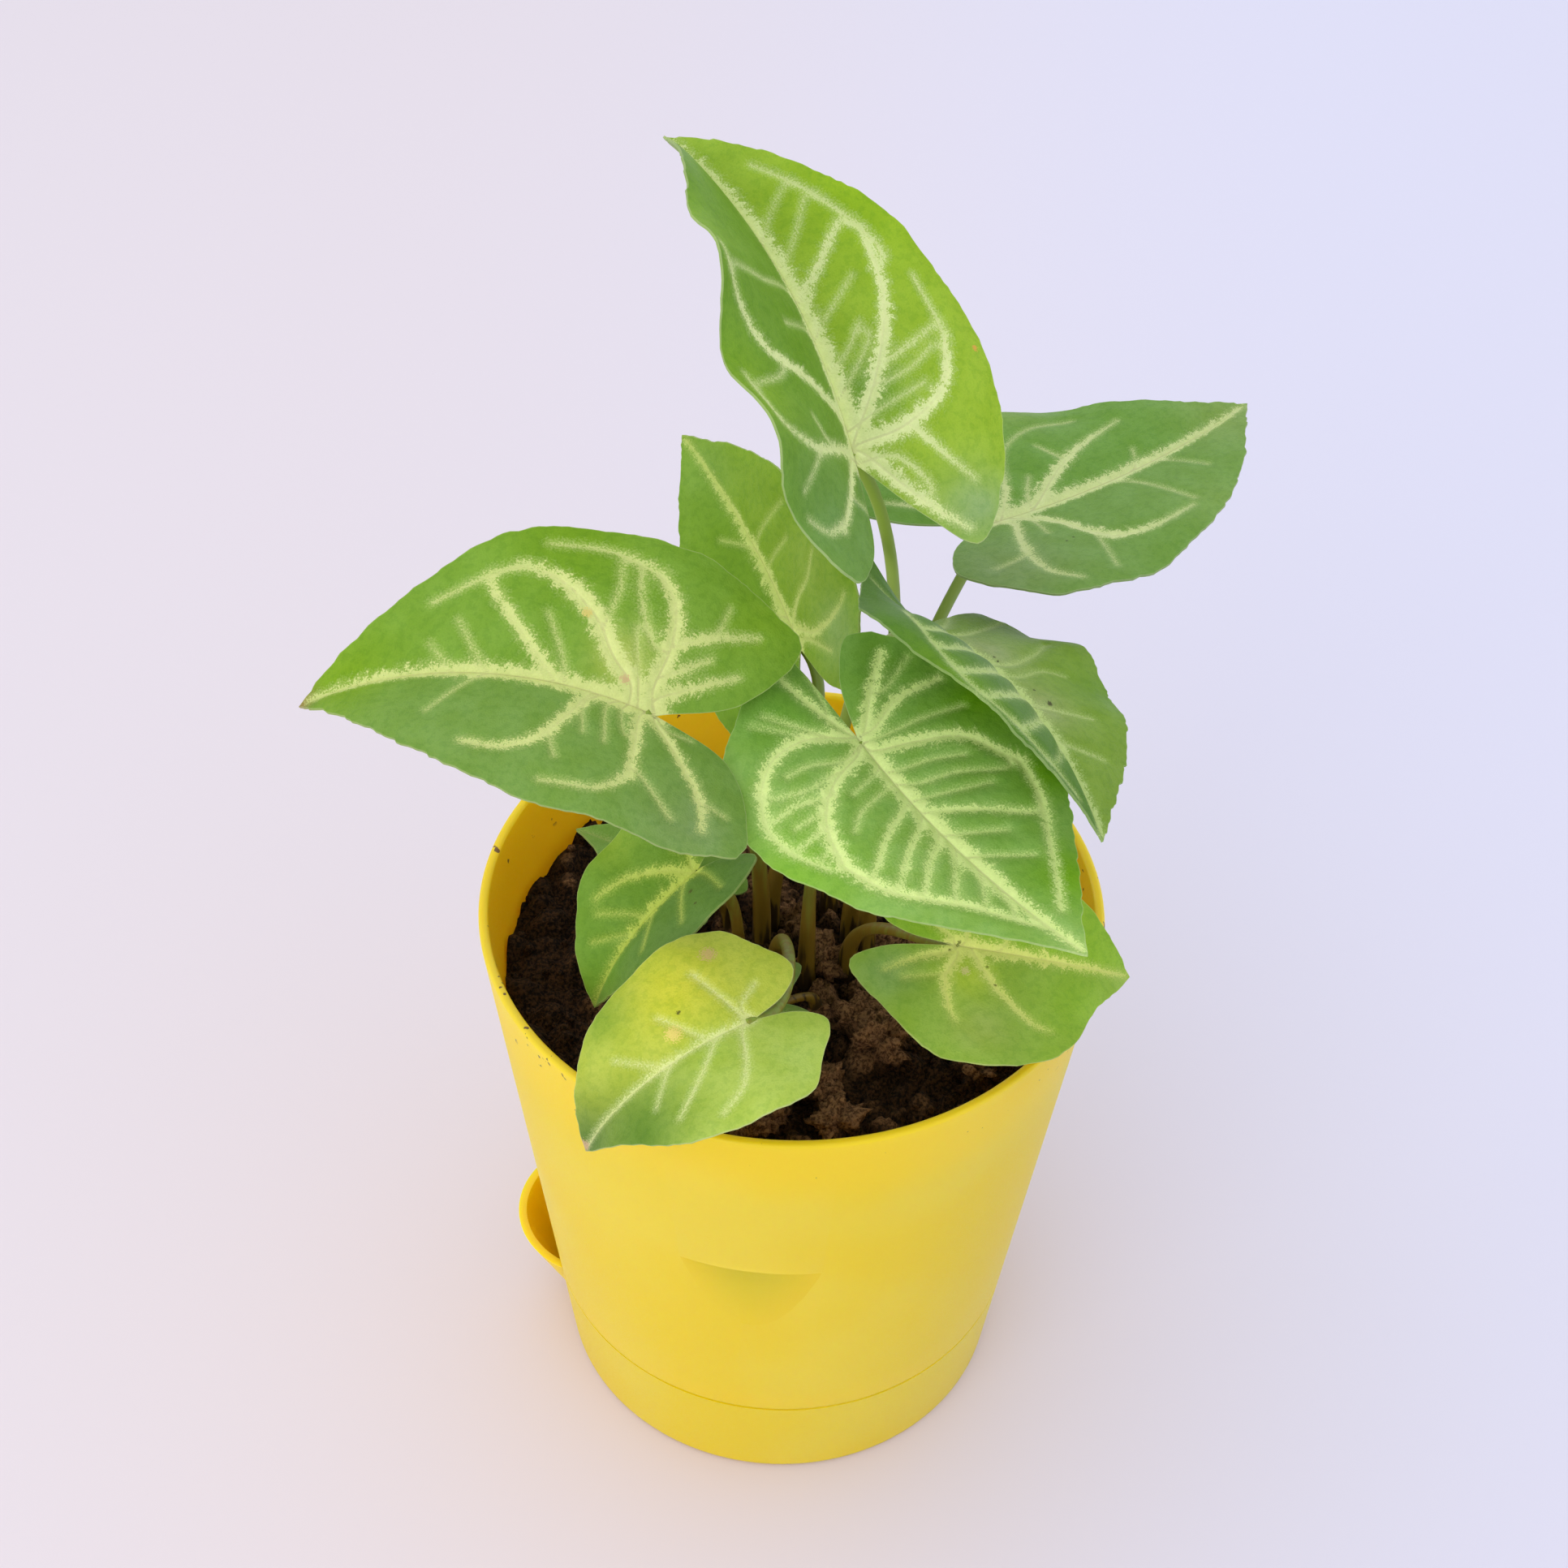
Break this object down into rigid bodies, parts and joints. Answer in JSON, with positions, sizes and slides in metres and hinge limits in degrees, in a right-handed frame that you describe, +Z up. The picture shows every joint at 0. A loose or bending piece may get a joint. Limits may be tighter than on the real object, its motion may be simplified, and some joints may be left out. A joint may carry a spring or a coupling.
{
  "type": "arrowhead plant",
  "caption": "Young arrowhead plant with upright arrow-shaped leaves on slim stems, rooted in soil in a tapered self-watering pot with a base tray and a side filling spout",
  "frame": {"origin": "centre of the base tray's underside, on the surface that the pot stands on", "axes": "+Z up along the pot's axis, -Y the pot's front, towards the viewer of the picture, -X the side of the filling spout"},
  "size_m": [0.169, 0.1562, 0.2468],
  "materials": {
    "pot_plastic": "satin",
    "tray_plastic": "satin",
    "soil": "matte",
    "leaf": "satin"
  },
  "bodies": {
    "root": {"pot": "pot_plastic", "base_tray": "tray_plastic", "soil": "soil", "leaf_top": "leaf", "leaf_back_right": "leaf", "leaf_left": "leaf", "leaf_centre": "leaf", "leaf_back_left": "leaf", "leaf_right": "leaf", "leaf_low_right": "leaf", "leaf_front_left": "leaf", "leaf_low_left": "leaf", "leaf_small_left": "leaf", "leaf_small_front": "leaf"}
  },
  "joints": []
}
